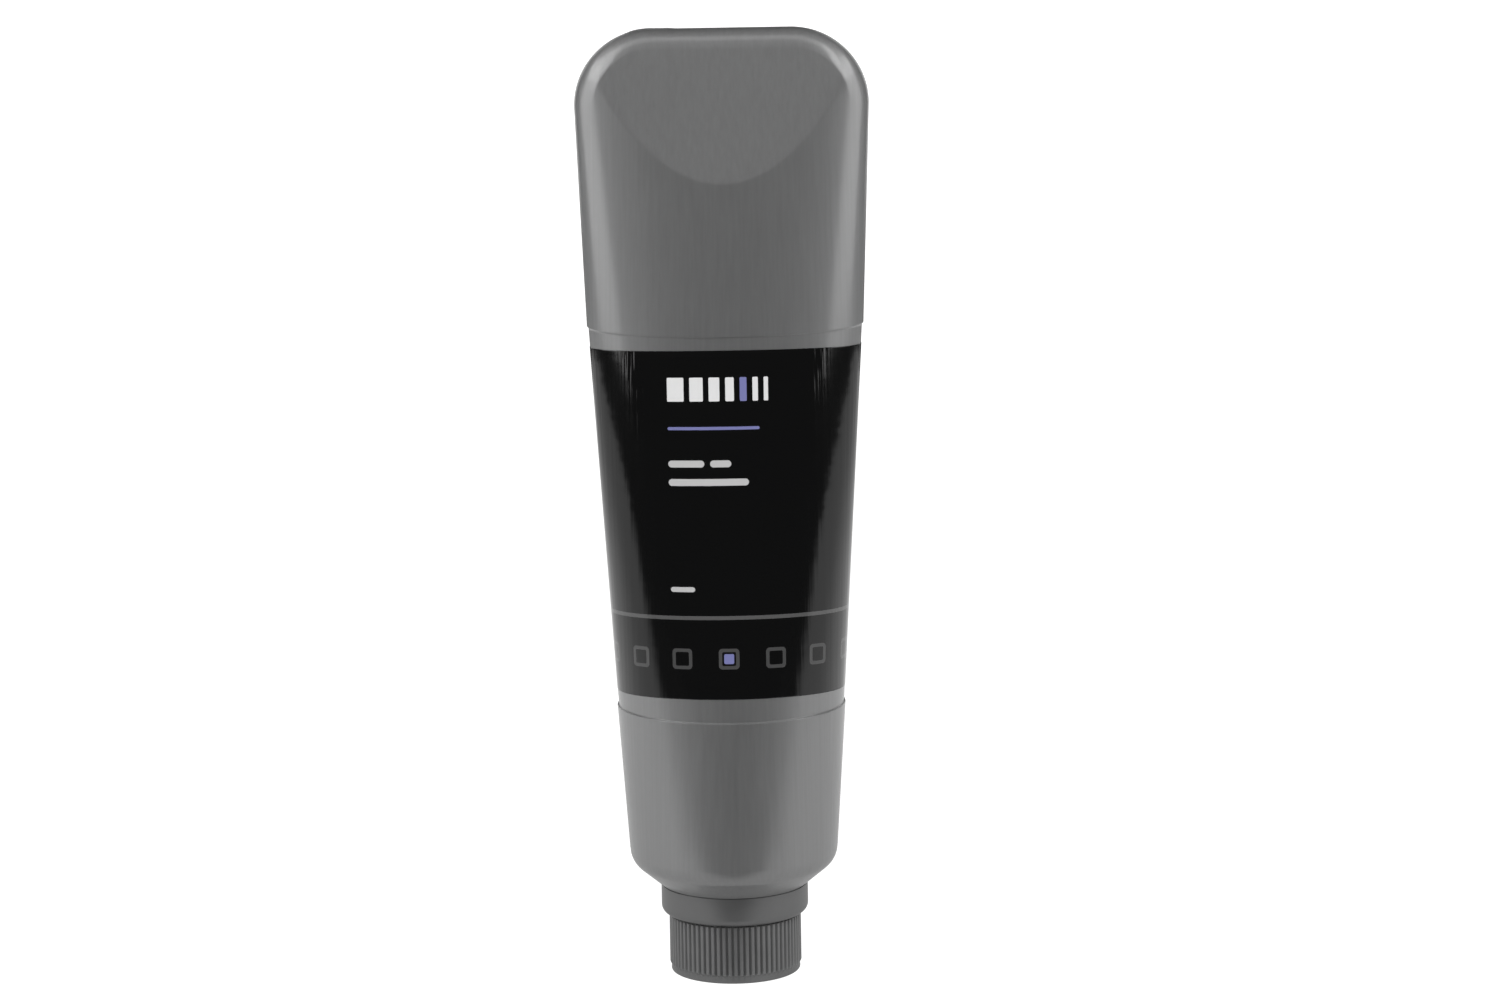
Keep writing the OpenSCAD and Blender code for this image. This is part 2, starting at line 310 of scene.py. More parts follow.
def paintGrey(wire):
    look = greyLook
    place = objectPlace(wire)
    grain = wire.noise(place, look["grainScale"], roughness=0.6)
    cloud = wire.noise(place, look["cloudScale"], detail=3.0)
    height = axisOf(wire, place, "Z") / mm
    flat = wire.node("VectorMath", {"operation": "MULTIPLY"}, {0: place, 1: (1, 1, 0)})
    radius = lengthOf(wire, flat) / mm
    shade = grain * look["grainShade"] + cloud * look["cloudShade"] + look["shade"]
    # painted highlights along the lower ends of the ribs and the ring's lower edge
    for middle, reach in (look["ribEnds"], look["ringEdge"]):
        shade = shade + (1 - abs(height - middle) / reach).top(0.0) * (cloud + look["edgeHighlight"])
    # painted highlight on the crests of the ribs, set against the darker grooves
    crest = rampOf(wire, radius, look["crestFrom"], look["crestTo"]) * (height < look["capTop"])
    shade = shade + crest * (cloud * look["crestCloud"] + look["crestHighlight"])
    dark = grey(look["level"] * look["darkest"], look["tint"])
    light = grey(look["level"] * look["lightest"], look["tint"])
    return {
        "Base Color": wire.blendColour(shade, dark, light),
        "Roughness": look["roughness"] + grain * look["grainRoughness"] + cloud * look["cloudRoughness"],
        "Normal": bumpOf(wire, grain, look["grain"], look["grainDepth"] * mm),
    }


capGrey = newFinish("cap_grey", {"IOR": greyLook["ior"]}, paintGrey)


# Tube: a round sleeve is turned, then pressed to its oval above the shoulder
tube = {
    "shoulderD": 54, "shoulderAngle": 40, "shoulderRound": 6, "baseH": 38.6, "lowStepW": 59.2,
    "panelH": 100.4, "topStepW": 71.3, "topStepD": 31.7, "panelRecess": 0.4, "wall": 1,
    "tailH": 78, "tailW": 75.7, "cornerR": 20, "flatH": 38.5, "tailEdgeT": 4.4, "rimW": 4.6, "neckD": 27.8,
    "mouthD": 24, "beadH": 1, "beadT": 1.6, "ringWall": 2.6, "ringPlay": 0.3, "ringGap": 0.3,
    "shoulderGap": 0.35, "neckRound": 0.2, "tipRound": 0.35, "beadFoot": 0.15, "beadRound": 0.25,
    "coneFoot": 0.3, "innerRound": 0.4, "ledgeRound": 0.18, "ledgeHold": 0.5,
    "creaseBlend": 0.08, "cornerBlend": 0.8, "cornerReach": 5, "creaseRow": 0.45, "creaseLead": 2,
    "shoulderSteps": 12, "innerShoulderSteps": 6, "tailSteps": 54, "innerTailSteps": 14,
    "spacing": 7, "innerSpacing": 30, "stepsAround": 360, "sectors": 12,
    "seamReach": 0.02, "seamHeight": 0.06,
    "pinchFrom": -22, "pinchTo": -14, "pinchEase": 3, "pinchHeight": 0.18,
}
thread = {"pitch": 3.5, "height": 0.9, "width": 1.6, "gap": 0.3, "start": 2.2, "land": 0.8, "foot": 0.4,
          "stepsPerTurn": 72, "fade": 0.12, "tip": 0.02}

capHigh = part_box("screw_cap")[1] / mm
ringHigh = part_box("tamper_ring")[1] / mm
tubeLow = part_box("tube_body")[0] / mm
shoulderR = tube["shoulderD"] / 2
slope = math.tan(math.radians(tube["shoulderAngle"]))
ringR = ringHigh.x
neckTip = tubeLow.z
capH = capHigh.z
ringZ = capH + tube["ringGap"]
ringTop = ringHigh.z
coneZ = ringTop + tube["shoulderGap"]
shoulderTop = coneZ + (shoulderR - ringR) * slope + tube["shoulderRound"] * math.tan(
    math.radians(90 - tube["shoulderAngle"]) / 2)
lowStep = shoulderTop + tube["baseH"]
topStep = lowStep + tube["panelH"]
tailTop = topStep + tube["tailH"]
cornerZ = tailTop - tube["cornerR"]
cornerX = tube["tailW"] / 2 - tube["cornerR"]
flatZ = tailTop - tube["flatH"]
neckR = tube["neckD"] / 2
mouthR = tube["mouthD"] / 2
crestR = neckR + thread["height"]
boreR = crestR + thread["gap"]
ringBoreR = ringR - tube["ringWall"]
beadR = ringBoreR - tube["ringPlay"]
rootR = beadR - tube["beadH"]
rootZ = ringZ + tube["ringGap"]
beadZ = rootZ + tube["ringGap"]
beadTop = beadZ + tube["beadH"] + tube["beadT"]
lipZ = beadTop + tube["ringPlay"]
threadZ = neckTip + thread["start"]
capThreadZ = threadZ + thread["pitch"] / 2
thread["turns"] = (capH - thread["land"] - thread["width"] / 2 - capThreadZ) / thread["pitch"]
depthRate = (tube["topStepD"] / 2 - shoulderR) / (topStep - shoulderTop)
widthLine = [(shoulderTop, shoulderR), (lowStep, tube["lowStepW"] / 2), (topStep, tube["topStepW"] / 2),
             (cornerZ, tube["tailW"] / 2)]


def coneAt(r):
    return coneZ + (r - ringR) * slope


# Half width and half depth of the oval at a height, drawn in by g
def halfWidth(z, g):
    for (z0, w0), (z1, w1) in zip(widthLine, widthLine[1:]):
        if z <= z1:
            break
    return mix(w0, w1, (z - z0) / (z1 - z0)) - g


def halfDepth(z, g):
    return shoulderR + depthRate * (z - shoulderTop) - g


flatRate = (halfDepth(flatZ, 0) - tube["tailEdgeT"] / 2) / tube["flatH"]


# Half depth of a face: the oval wall, or the flat of the tail where that lies deeper
def faceDepth(x, z, g, blend):
    oval = halfDepth(z, g) * math.sqrt(max(0, 1 - (x / halfWidth(z, g)) ** 2))
    return softMin(oval, tube["tailEdgeT"] / 2 + flatRate * (tailTop - z) - g, blend)


# Curve of the rim from the edge to the face, the same as that of the oval's side
def rimCurve(share):
    return math.sqrt(1 - (1 - share * tube["rimW"] * 2 / tube["tailW"]) ** 2)


# Half depth of the wall: inside the rim it is that of the face, and from there it runs out to the edge
def wallDepth(x, z, g):
    dx, dz = max(0, x - cornerX), max(0, z - cornerZ)
    away = math.hypot(dx, dz)
    inside = tube["cornerR"] - g - away
    rimW = tube["rimW"]
    blend = mix(tube["cornerBlend"], tube["creaseBlend"], ease(rimW, rimW + tube["cornerReach"], inside))
    if dz == 0 or inside >= rimW:
        return faceDepth(x, z, g, blend)
    back = (tube["cornerR"] - g - rimW) / away
    face = faceDepth(min(x, cornerX) + dx * back, cornerZ + dz * back, g, blend)
    return face * rimCurve(max(0, inside) / rimW) / rimCurve(1)


# Point of the pressed wall at an angle and height, drawn in by g
def wallPoint(u, z, g):
    if z <= cornerZ:
        side = halfWidth(z, g)
    else:
        side = cornerX + math.sqrt(max(0, (tube["cornerR"] - g) ** 2 - (z - cornerZ) ** 2))
    x = side * math.cos(u)
    return Vector((x, math.copysign(wallDepth(abs(x), z, g), math.sin(u)), z))


def shoulderArc(r, steps):
    angles = [math.radians(mix(tube["shoulderAngle"] - 90, 0, i / steps)) for i in range(steps + 1)]
    return [(shoulderR - tube["shoulderRound"] + r * math.cos(a), shoulderTop + r * math.sin(a), 0)
            for a in angles]


def tailArc(r, g, steps):
    return [(shoulderR - g, cornerZ + r * math.sin(math.pi / 2 * i / steps), 0) for i in range(1, steps + 1)]


def buildTube():
    wall, recess = tube["wall"], tube["panelRecess"]
    coneInside = coneAt(mouthR) + wall / math.cos(math.radians(tube["shoulderAngle"]))
    inner = [(mouthR, coneInside, tube["innerRound"])]
    inner += shoulderArc(tube["shoulderRound"] - wall, tube["innerShoulderSteps"])
    inner += [
        (shoulderR - wall, lowStep - wall, 0), (shoulderR - wall - recess, lowStep, 0),
        (shoulderR - wall - recess, topStep, 0), (shoulderR - wall, topStep + wall, 0),
        (shoulderR - wall, cornerZ, 0),
    ]
    inner += tailArc(tube["cornerR"] - wall, wall, tube["innerTailSteps"])
    neckRound, beadRound = tube["neckRound"], tube["beadRound"]
    outer = [
        (mouthR, neckTip, neckRound), (neckR, neckTip, tube["tipRound"]), (neckR, rootZ, neckRound),
        (rootR, rootZ, neckRound), (rootR, beadZ, tube["beadFoot"]),
        (beadR, beadZ + tube["beadH"], beadRound), (beadR, beadTop, beadRound),
        (rootR, beadTop, neckRound), (rootR, coneAt(rootR), tube["coneFoot"]),
    ]
    outer += shoulderArc(tube["shoulderRound"], tube["shoulderSteps"])
    ledge, hold = tube["ledgeRound"], tube["ledgeHold"]
    outer += [
        (shoulderR, lowStep - hold, 0), (shoulderR, lowStep, ledge), (shoulderR - recess, lowStep, ledge),
        (shoulderR - recess, lowStep + hold, 0), (shoulderR - recess, topStep - hold, 0),
        (shoulderR - recess, topStep, ledge), (shoulderR, topStep, ledge), (shoulderR, topStep + hold, 0),
    ]
    creaseLow = flatZ - tube["creaseLead"]
    rows = round((cornerZ - creaseLow) / tube["creaseRow"])
    outer += [(shoulderR, mix(creaseLow, cornerZ, i / rows), 0) for i in range(rows + 1)]
    outer += tailArc(tube["cornerR"], 0, tube["tailSteps"])
    bm = bmesh.new()
    drawProfile(bm, inner[::-1] + outer)
    cutProfile(bm, lambda r, z: tube["spacing"] if r > shoulderR - wall / 2 else tube["innerSpacing"])
    turnProfile(bm, tube["sectors"], tube["stepsAround"] // tube["sectors"])
    for v in bm.verts:
        x, y, z = v.co / mm
        if z > shoulderTop:
            place = wallPoint(math.atan2(y, x), z, shoulderR - math.hypot(x, y))
            # the mould's parting line along both sides and the top, with the end of the pinched seam
            if abs(place.y) < tube["seamReach"] and math.hypot(x, y) > shoulderR - wall / 2:
                pinch = ease(tube["pinchFrom"] - tube["pinchEase"], tube["pinchFrom"], place.x)
                pinch *= 1 - ease(tube["pinchTo"], tube["pinchTo"] + tube["pinchEase"], place.x)
                lift = tube["seamHeight"] + tube["pinchHeight"] * pinch * (z > cornerZ)
                away = Vector((max(0, abs(place.x) - cornerX), 0, max(0, z - cornerZ))).normalized()
                place += Vector((math.copysign(away.x, place.x), 0, away.z)) * lift
            v.co = place * mm
    addThread(bm, neckR - thread["foot"], crestR, threadZ, thread)
    makePiece(bm, "tube_wall", "tube", "tube_body", silverWall)


buildTube()


# Label: a film that follows the recessed panel, its edges a little higher at the front than at the sides
label = {"thickness": 0.12, "gap": 0.05, "low": 4.3, "high": 5.4, "rise": 2, "ease": 1.2, "levels": 64,
         "innerLevels": 8, "edgeRound": 0.04, "skin": 0.01, "hold": 0.2,
         "lapFrom": 168, "lapTo": 176, "lapT": 0.06, "lapSkin": 0.05}
labelLow = lowStep + label["low"]
labelHigh = topStep - label["high"]

# Black film, drawn a little in lines along the tube and more so towards its upper edge (depth in mm)
filmLook = {
    "film": 0.002, "filmTint": 0.1, "squares": 0.075, "stripe": 0.11, "text": 0.32, "bars": 0.60,
    "strokes": 0.86, "accent": (0.22, 0.23, 0.48, 1), "ior": 1.64,
    "roughness": 0.075, "dragRoughness": 0.05, "cloudRoughness": 0.03,
    "dragScale": (900, 900, 6), "cloudScale": 120, "cloudBump": 0.3, "bump": 1.0, "bumpDepth": 0.11,
    "stretchFrom": 50.0, "stretchTo": 92.0, "stretchLow": 0.4, "stretchHigh": 1.6,
}

# Plain printed shapes in mm: u runs around from the middle of the front, v up from the film's lower edge.
# A bar is its start, length, height on the film and thickness
labelPrint = {
    "left": -15.5, "stripe": 21.3, "stripeW": 1.0,
    "strokes": 7, "strokeW": 4.4, "strokeShrink": 0.8, "strokeGap": 1.5, "strokeLow": 77.6,
    "strokeHigh": 83.8, "strokeRound": 0.3, "accentStroke": 4, "rule": 70.6, "ruleW": 0.8, "ruleLength": 24,
    "bars": ((0, 9.5, 61.4, 1.8), (11, 5.5, 61.4, 1.8), (0, 21, 56.6, 1.8), (0, 6.5, 28.7, 1.3)),
    "squares": 10.6, "squareSize": 5.4, "squareLine": 0.9, "squarePitch": 12.4, "squareRound": 1.0,
    "hollowRound": 0.4, "fillGap": 1, "edge": 79,
    "backFrom": 62, "backTo": 78, "backMiddle": 55, "backReach": 21, "linePitch": 2.6, "lineW": 0.8,
    "wordScale": 0.55, "rowShift": 7.3, "wordShare": 0.56,
}


def labelRise(u):
    return label["rise"] * abs(math.sin(u)) ** label["ease"]


def paintLabel(wire):
    look, ink = filmLook, labelPrint
    place = wire.node("UVMap", {"uv_map": "film"})
    u = axisOf(wire, place, "X") / mm
    v = axisOf(wire, place, "Y") / mm
    left = ink["left"]

    # mask of a rounded box by its middle, its size and its corner
    def box(across, up, width, height, corner):
        sideways = (abs(across) - (width / 2 - corner)).top(0.0)
        upright = (abs(up) - (height / 2 - corner)).top(0.0)
        return (sideways * sideways + upright * upright) < corner * corner

    def bar(start, length, middle, height):
        return box(u - (start + length / 2), v - middle, length, height, height / 2)

    # a row of strokes that get thinner, one of them in the accent colour, and a rule and bars under it
    start, strokeW = left, ink["strokeW"]
    strokeH = ink["strokeHigh"] - ink["strokeLow"]
    strokes, accents = [], [bar(left, ink["ruleLength"], ink["rule"], ink["ruleW"])]
    for i in range(ink["strokes"]):
        stroke = box(u - (start + strokeW / 2), v - (ink["strokeLow"] + strokeH / 2), strokeW, strokeH,
                     ink["strokeRound"])
        (accents if i == ink["accentStroke"] else strokes).append(stroke)
        start += strokeW + ink["strokeGap"]
        strokeW *= ink["strokeShrink"]
    bars = [bar(left + shift, length, middle, height) for shift, length, middle, height in ink["bars"]]

    # under the stripe a row of outlined squares all the way round, one of them filled with the accent colour
    size, pitch = ink["squareSize"], ink["squarePitch"]
    cell = (u - left) % pitch - size / 2
    rise = v - ink["squares"]
    inner = size - 2 * ink["squareLine"]
    fillSize = inner - ink["fillGap"]
    full = box(cell, rise, size, size, ink["squareRound"])
    hollow = box(cell, rise, inner, inner, ink["hollowRound"])
    accents.append(box(u - (left + pitch + size / 2), rise, fillSize, fillSize, ink["hollowRound"]))
    squares = (full - hollow) * (abs(u) < ink["edge"])
    stripe = abs(v - ink["stripe"]) < ink["stripeW"] / 2

    # on the back, two columns of lines broken into short lengths
    row = v / ink["linePitch"]
    rowPlace = row % 1.0
    wordPlace = wire.node("CombineXYZ", None, {
        0: u * ink["wordScale"], 1: (row - rowPlace) * ink["rowShift"]})
    words = wire.node("TexNoise", {"noise_dimensions": "2D"}, {
        "Vector": wordPlace, "Scale": 1.0, "Detail": 0.0})
    text = (abs(rowPlace - 0.5) < ink["lineW"] / ink["linePitch"] / 2) * (words < ink["wordShare"])
    columnMiddle, columnReach = (ink["backFrom"] + ink["backTo"]) / 2, (ink["backTo"] - ink["backFrom"]) / 2
    text = text * (abs(abs(u) - columnMiddle) < columnReach)
    text = text * (abs(v - ink["backMiddle"]) < ink["backReach"])

    colour = grey(look["film"], look["filmTint"])
    for mask, level in ((squares, "squares"), (stripe, "stripe"), (text, "text"), (anyOf(bars), "bars"),
                        (anyOf(strokes), "strokes")):
        colour = wire.blendColour(mask, colour, grey(look[level]))
    colour = wire.blendColour(anyOf(accents), colour, look["accent"])
    where = objectPlace(wire)
    drag = wire.noise(where, look["dragScale"])
    cloud = wire.noise(where, look["cloudScale"])
    stretch = rampOf(wire, v, look["stretchFrom"], look["stretchTo"], look["stretchLow"], look["stretchHigh"])
    skin = drag * stretch + cloud * look["cloudBump"]
    return {
        "Base Color": colour,
        "Roughness": look["roughness"] + drag * look["dragRoughness"] + cloud * look["cloudRoughness"],
        "Normal": bumpOf(wire, skin, look["bump"], look["bumpDepth"] * mm),
    }


labelBlack = newFinish("label_black", {"IOR": filmLook["ior"]}, paintLabel)


# Distances around half of the film from the middle of the front, at one height
def filmLengths(z):
    half = tube["stepsAround"] // 2
    turns = [math.pi * i / half - math.pi / 2 for i in range(half + 1)]
    points = [wallPoint(u, z + labelRise(u), 0) for u in turns]
    return [0, *accumulate((b - a).length for a, b in zip(points, points[1:]))]


def buildLabel():
    inner = shoulderR - tube["panelRecess"] + label["gap"]
    outer = inner + label["thickness"]
    hold, edge = label["hold"], label["edgeRound"]
    bm = bmesh.new()
    drawProfile(bm, [
        (inner, labelLow, 0), (outer, labelLow, edge), (outer, labelLow + hold, 0),
        (outer, labelHigh - hold, 0), (outer, labelHigh, edge), (inner, labelHigh, 0),
    ], closed=True, segments=2)

    def spacing(r, z):
        levels = label["levels"] if r > outer - label["skin"] else label["innerLevels"]
        return (labelHigh - labelLow) / levels

    cutProfile(bm, spacing)
    turnProfile(bm, tube["sectors"], tube["stepsAround"] // tube["sectors"])
    flat = {}
    for v in bm.verts:
        x, y, z = v.co / mm
        u = math.atan2(y, x)
        g = shoulderR - math.hypot(x, y)
        turn = math.degrees(u + math.pi / 2) % 360
        if label["lapFrom"] < turn < label["lapTo"] and g < shoulderR - inner - label["lapSkin"]:
            g -= label["lapT"]  # the film's end laps over its start at the back
        v.co = wallPoint(u, z + labelRise(u), g) * mm
        flat[v] = (u, z)
    uvs = bm.loops.layers.uv.new("film")
    rows = {}
    for face in bm.faces:
        side = face.calc_center_median().x
        for loop in face.loops:
            u, z = flat[loop.vert]
            turn = abs((u + math.pi / 2 + math.pi) % math.tau - math.pi)
            if z not in rows:
                rows[z] = filmLengths(z)
            length = rows[z][round(turn / math.tau * tube["stepsAround"])]
            loop[uvs].uv = (math.copysign(length, side) * mm, (z - labelLow) * mm)
    makePiece(bm, "film_label", "tube", "label_film", labelBlack)


buildLabel()


# Screw cap: turned, with rounded ribs pushed out of its wall, a smooth band and a thread inside.
# Heights of the rows and fades are counted from the top of the band or of the cap
cap = {
    "d": 33.6, "endT": 1.5, "bandH": 1.9, "edgeR": 0.6, "ribs": 70, "ribH": 0.35, "stepsPerRib": 14,
    "ribSlope": 0.31, "bandInset": 0.15, "grooveInset": 0.25,
    "recessR": 10.5, "recess": 0.3, "recessSlope": 0.3, "recessRound": 0.1, "topRound": 0.25,
    "boreRound": 0.3, "bandRows": (-0.1, 0.05, 0.2, 0.35, 0.5, 0.7),
    "spacing": 1.5, "innerSpacing": 5, "fineFrom": 1, "ribReach": 0.3, "ribShift": 0.001,
    "fadeFrom": -0.1, "fadeTo": 0.5, "topFrom": 0.1, "topTo": -0.3,
}


# Height of a rib at a share of the rib spacing
def ribShape(share):
    up = cap["ribSlope"]
    return ease(0, up, share) * (1 - ease(1 - up, 1, share))


def buildCap():
    wallR, band, topRound = cap["d"] / 2, cap["bandH"], cap["topRound"]
    bm = bmesh.new()
    drawProfile(bm, [
        (0, cap["recess"], 0), (cap["recessR"], cap["recess"], cap["recessRound"]),
        (cap["recessR"] + cap["recessSlope"], 0, cap["recessRound"]), (wallR, 0, cap["edgeR"]),
        *((wallR, band + row, 0) for row in cap["bandRows"]),
        (wallR, capH, topRound), (boreR, capH, topRound), (boreR, cap["endT"], cap["boreRound"]),
        (0, cap["endT"], 0),
    ], segments=4)

    def spacing(r, z):
        onWall = r > boreR + cap["fineFrom"] and z > cap["fineFrom"]
        return cap["spacing"] if onWall else cap["innerSpacing"]

    cutProfile(bm, spacing)
    turnProfile(bm, cap["ribs"], cap["stepsPerRib"])
    for v in bm.verts:
        x, y, z = v.co / mm
        out = math.hypot(x, y)
        if out > wallR - cap["ribReach"] and z > band - cap["ribReach"]:
            share = (math.atan2(y, x) / math.tau * cap["ribs"] + cap["ribShift"]) % 1
            rib = mix(-cap["grooveInset"], cap["ribH"], ribShape(share))
            fade = ease(band + cap["fadeFrom"], band + cap["fadeTo"], z)
            lift = mix(-cap["bandInset"], rib, fade) * ease(capH + cap["topFrom"], capH + cap["topTo"], z)
            v.co.xy *= (out + lift) / out
    addThread(bm, boreR + thread["foot"], boreR - thread["height"], capThreadZ, thread)
    makePiece(bm, "ribbed_cap", "cap", "screw_cap", capGrey)


buildCap()


# Tear ring: a smooth collar with a round lower edge, a lip behind the bead and the stubs of its bridges
ring = {"rise": 0.2, "edgeR": 2, "lipT": 1.2, "boreRound": 0.1, "lipRound": 0.12, "bridges": 10,
        "bridgeW": 0.8, "bridgeL": 0.6, "steps": 240, "sectors": 12}


def buildRing():
    lipR = rootR + tube["ringPlay"]
    lipTop = lipZ + ring["lipT"]
    top = ringTop + ring["rise"]
    edgeR = min(ring["edgeR"], tube["ringWall"] - ring["bridgeL"])
    fine = ring["lipRound"]
    bm = bmesh.new()
    drawProfile(bm, [
        (ringBoreR, ringZ, ring["boreRound"]), (ringR, ringZ, edgeR), (ringR, top, fine),
        (ringBoreR, top - tube["ringWall"] * slope, fine), (ringBoreR, lipTop, fine),
        (lipR, lipTop, fine), (lipR, lipZ, fine), (ringBoreR, lipZ, fine),
    ], closed=True, segments=6)
    turnProfile(bm, ring["sectors"], ring["steps"] // ring["sectors"])
    size = Matrix.Diagonal((ring["bridgeL"] * mm, ring["bridgeW"] * mm, tube["ringGap"] * mm, 1))
    shift = Matrix.Translation(((ringBoreR + ring["bridgeL"] / 2) * mm, 0, ringZ * mm))
    for i in range(ring["bridges"]):
        turn = Matrix.Rotation(math.tau * i / ring["bridges"], 4, "Z")
        bmesh.ops.create_cube(bm, size=1, matrix=turn @ shift @ size)
    makePiece(bm, "tear_ring", "ring", "tamper_ring", capGrey)


buildRing()


# Inner pieces keep their solids and get their own finishes (depths in mm)
greaseLook = {"dark": 0.012, "light": 0.05, "tint": 0.05, "ior": 1.47, "swirlScale": 60, "grainScale": 2600,
              "grains": 0.5, "roughness": 0.28, "swirlRoughness": 0.15, "swirl": 0.4, "swirlDepth": 0.4}
foilLook = {"dark": 0.62, "light": 0.82, "tint": 0.02, "metal": 1.0, "brushScale": (300, 4000, 300),
            "dentScale": 260, "roughness": 0.26, "brushRoughness": 0.12, "dents": 0.25, "dentDepth": 0.1}
foamLook = {"light": 0.84, "lightTint": -0.03, "dark": 0.62, "darkTint": -0.05, "cellScale": 2200.0,
            "cloudScale": 200, "cells": 0.6, "cloud": 0.4, "roughness": 0.78, "cellRoughness": 0.15,
            "bump": 0.3, "bumpDepth": 0.1}


def paintGrease(wire):
    look = greaseLook
    place = objectPlace(wire)
    swirl = wire.noise(place, look["swirlScale"], detail=4.0, roughness=0.6)
    grains = wire.noise(place, look["grainScale"], detail=1.0)
    return {
        "Base Color": wire.blendColour(swirl + grains * look["grains"] + 0.5, grey(look["dark"]),
                                       grey(look["light"], look["tint"])),
        "Roughness": look["roughness"] + swirl * look["swirlRoughness"],
        "Normal": bumpOf(wire, swirl, look["swirl"], look["swirlDepth"] * mm),
    }


def paintFoil(wire):
    look = foilLook
    place = objectPlace(wire)
    brush = wire.noise(place, look["brushScale"], detail=3.0, roughness=0.6)
    dents = wire.noise(place, look["dentScale"])
    return {
        "Base Color": wire.blendColour(brush + 0.5, grey(look["dark"]), grey(look["light"], look["tint"])),
        "Roughness": look["roughness"] + brush * look["brushRoughness"],
        "Normal": bumpOf(wire, dents, look["dents"], look["dentDepth"] * mm),
    }


def paintFoam(wire):
    look = foamLook
    place = objectPlace(wire)
    cells = wire.node("TexVoronoi", None, {"Vector": place, "Scale": look["cellScale"]})
    cloud = wire.noise(place, look["cloudScale"])
    light, dark = grey(look["light"], look["lightTint"]), grey(look["dark"], look["darkTint"])
    return {
        "Base Color": wire.blendColour(cells * look["cells"] + cloud * look["cloud"], light, dark),
        "Roughness": look["roughness"] + cells * look["cellRoughness"],
        "Normal": bumpOf(wire, cells, look["bump"], look["bumpDepth"] * mm),
    }


innerFinishes = {
    "grease_fill": newFinish("grease", {"IOR": greaseLook["ior"]}, paintGrease),
    "foil_seal": newFinish("foil", {"Metallic": foilLook["metal"]}, paintFoil),
    "cap_liner": newFinish("liner_foam", {}, paintFoam),
}
for node, finish in innerFinishes.items():
    for materialSlot in frame["nodes"][node].material_slots:
        materialSlot.material = finish
print("inner pieces finished:", ", ".join(innerFinishes))


# Stage: a pale floor that only the camera sees, and a glowing table of painted light that shows only in
# reflections.
# Both lie below the cap's travel (drops in mm), and the rest is in metres
stage = {
    "segments": 96, "roughness": 0.9, "specular": 0.1, "floorDrop": 0.5, "tableDrop": 0.2,
    "floorR": 30.0, "floorLevel": 0.30, "floorGlow": 0.93,
    "tableR": 0.70, "tableLevel": 0.10, "tableGlow": 0.60, "shadowR": -0.36, "openR": 0.22,
    "front": 0.258, "frontSkew": 0.05, "frontSoft": 0.072, "notch": 0.052, "notchSlope": 1.16,
    "notchSoft": 0.026, "rear": 0.03, "rearSoft": 0.12, "rearFrom": 0.23, "rearTo": 0.34,
    "rearFar": 0.45, "rearEnd": 0.58, "rearGain": 0.48,
}


def addDisc(name, radius, height, level, constants, glow):
    bm = bmesh.new()
    bmesh.ops.create_circle(bm, cap_ends=True, segments=stage["segments"], radius=radius,
                            matrix=Matrix.Translation((0, 0, height)))
    mesh = bpy.data.meshes.new(name)
    bm.to_mesh(mesh)
    bm.free()
    disc = bpy.data.objects.new(name, mesh)
    scene.collection.objects.link(disc)
    mesh.materials.append(newFinish(name, {
        "Base Color": grey(level), "Roughness": stage["roughness"], "Specular IOR Level": stage["specular"],
        "Emission Strength": 1.0, **constants,
    }, glow))
    return disc


# The table's glow is painted light. It ends a little in front of the tube, with a soft edge and a notch in
# its middle.
# It is dimmer close to the tube, a painted shadow, and brighter in a band behind it
def paintTable(wire):
    place = objectPlace(wire)
    across, depth = axisOf(wire, place, "X"), axisOf(wire, place, "Y")
    away = lengthOf(wire, place)

    def soft(value, width):
        return rampOf(wire, value, -width, width, kind="SMOOTHSTEP")

    lit = soft(depth + across * stage["frontSkew"] + stage["front"], stage["frontSoft"])
    lit = lit * soft(depth + abs(across) * stage["notchSlope"] + stage["notch"], stage["notchSoft"])
    lit = lit * rampOf(wire, away, stage["shadowR"], stage["openR"])
    rear = soft(depth - stage["rear"], stage["rearSoft"])
    rear = rear * rampOf(wire, away, stage["rearFrom"], stage["rearTo"])
    rear = rear * rampOf(wire, away, stage["rearEnd"], stage["rearFar"])
    lit = lit * (rear * stage["rearGain"] + 1.0)
    return {"Emission Color": wire.blendColour(lit * stage["tableGlow"], grey(0), grey(1))}


joints = {joint["name"]: joint for joint in frame["record"]["behaviour"]["joints"]}
floorZ = -joints["cap_lift"]["range_m"][1] - stage["floorDrop"] * mm
floor = addDisc("floor", stage["floorR"], floorZ, stage["floorLevel"],
                {"Emission Color": grey(stage["floorGlow"])}, lambda wire: {})
floor.visible_diffuse = False
floor.visible_glossy = False
floor.visible_shadow = False
table = addDisc("table", stage["tableR"], floorZ - stage["tableDrop"] * mm, stage["tableLevel"], {},
                paintTable)
table.visible_camera = False

# Room: white where the camera looks past the tube, else dim
room = {"dim": 0.057}
world = bpy.data.worlds.new("studio")
scene.world = world
world.use_nodes = True
sky = Wire(world.node_tree)
backdrop = world.node_tree.nodes["Background"]
sky.tree.links.new(sky.node("LightPath").top(room["dim"]).socket, backdrop.inputs["Color"])
print("floor, table and room placed")


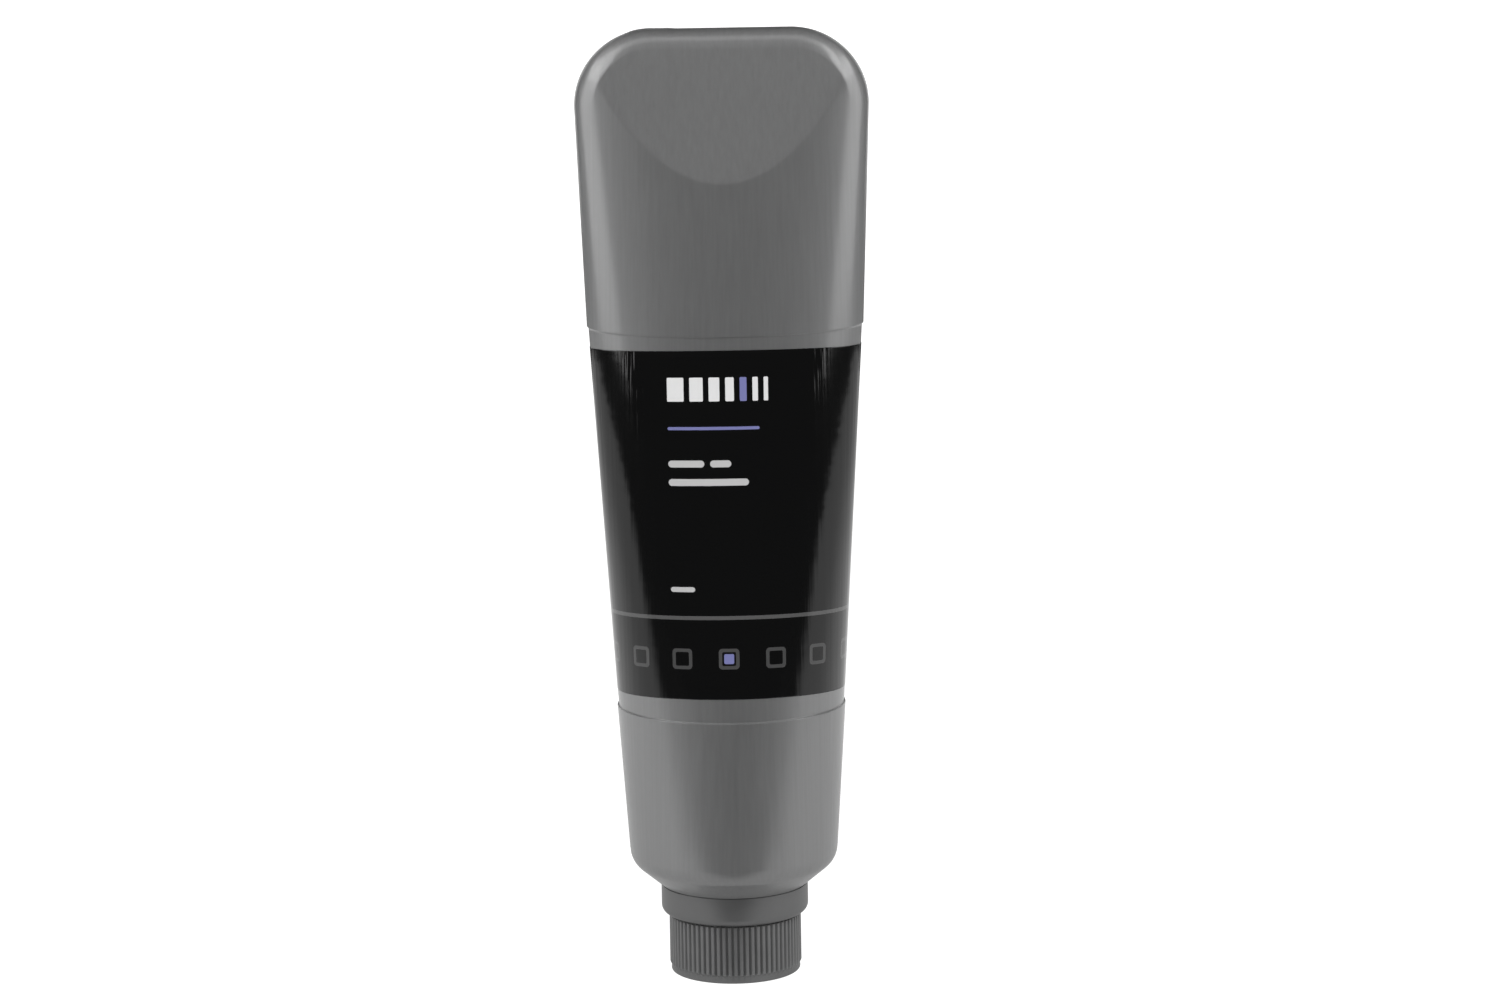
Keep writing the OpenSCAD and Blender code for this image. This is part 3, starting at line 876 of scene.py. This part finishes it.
# Area lights: azimuth from the camera's side in degrees, distance, lower and upper edge and width in metres,
# and brightness
lights = {
    "left_box": {"azimuth": -71.5, "distance": 0.5, "low": 0.075, "high": 0.42, "width": 0.29, "level": 1.5},
    "left_upper": {"azimuth": -67.5, "distance": 0.5, "low": 0.42, "high": 0.65, "width": 0.345,
                   "level": 2.65},
    "left_corner": {"azimuth": -43, "distance": 0.95, "low": 0.90, "high": 1.26, "width": 0.60, "level": 1.9},
    "left_wall": {"azimuth": -46, "distance": 1.2, "low": 0.1, "high": 0.7, "width": 0.8, "level": 0.26},
    "left_rear": {"azimuth": -145, "distance": 0.6, "low": 0.07, "high": 0.85, "width": 0.30, "level": 0.9},
    "right_box": {"azimuth": 70, "distance": 0.5, "low": 0.080, "high": 0.42, "width": 0.27, "level": 1.5},
    "right_upper": {"azimuth": 66, "distance": 0.5, "low": 0.42, "high": 0.65, "width": 0.36, "level": 2.6},
    "right_corner": {"azimuth": 38, "distance": 0.95, "low": 0.88, "high": 1.22, "width": 0.32, "level": 2.7},
    "right_rear": {"azimuth": 145, "distance": 0.6, "low": 0.07, "high": 0.85, "width": 0.30, "level": 0.9},
}
topPanel = {"distance": 0.83, "z": 1.085, "size": (1.6, 0.22), "level": 1.18}
fill = {"distance": 1.4, "z": 0.75, "size": (0.8, 0.8), "level": 6.0}


def addLight(name, spot, aim, size, level, mirrored=True):
    data = bpy.data.lights.new(name, "AREA")
    data.shape = "RECTANGLE"
    data.size, data.size_y = size
    data.energy = level * math.pi * size[0] * size[1]  # watts for that brightness
    lamp = bpy.data.objects.new(name, data)
    lamp.location = spot
    lamp.rotation_mode = "QUATERNION"
    lamp.rotation_quaternion = (Vector(aim) - Vector(spot)).to_track_quat("-Z", "Y")
    lamp.visible_camera = False
    lamp.visible_glossy = mirrored
    scene.collection.objects.link(lamp)


for name, box in lights.items():
    a = math.radians(box["azimuth"])
    z = (box["low"] + box["high"]) / 2
    spot = (math.sin(a) * box["distance"], -math.cos(a) * box["distance"], z)
    addLight(name, spot, (0, 0, z), (box["width"], box["high"] - box["low"]), box["level"])
addLight("top_panel", (0, -topPanel["distance"], topPanel["z"]), (0, 0, tailTop * mm), topPanel["size"],
         topPanel["level"])
for name, side in (("front_fill", -1), ("back_fill", 1)):
    addLight(name, (0, side * fill["distance"], fill["z"]), (0, 0, tailTop * mm / 2), fill["size"],
             fill["level"], mirrored=False)
print("lights placed")


# Camera of the photograph: a long lens, a little above, tipped slightly so that the tube leans left
shot = {"lens": 300, "sensor": 36, "elevation": 13.35, "roll": 0.95, "distance": 3.2375, "clipEnd": 100,
        "target": (5.65 * mm, 0, 125.37 * mm)}
lensData = bpy.data.cameras.new("camera")
lensData.lens = shot["lens"]
lensData.sensor_width = shot["sensor"]
lensData.clip_end = shot["clipEnd"]
camera = bpy.data.objects.new("camera", lensData)
scene.collection.objects.link(camera)
tilt = math.radians(shot["elevation"])
roll = math.radians(shot["roll"])
back = Vector((0, -math.cos(tilt), math.sin(tilt)))
right, up = Vector((1, 0, 0)), Vector((0, math.sin(tilt), math.cos(tilt)))
turnedRight = right * math.cos(roll) - up * math.sin(roll)
turnedUp = up * math.cos(roll) + right * math.sin(roll)
spot = Vector(shot["target"]) + back * shot["distance"]
camera.matrix_world = Matrix((turnedRight, turnedUp, back)).transposed().to_4x4()
camera.location = spot
scene.camera = camera
scene.view_settings.view_transform = "Standard"
print("camera at", [round(x, 4) for x in spot])
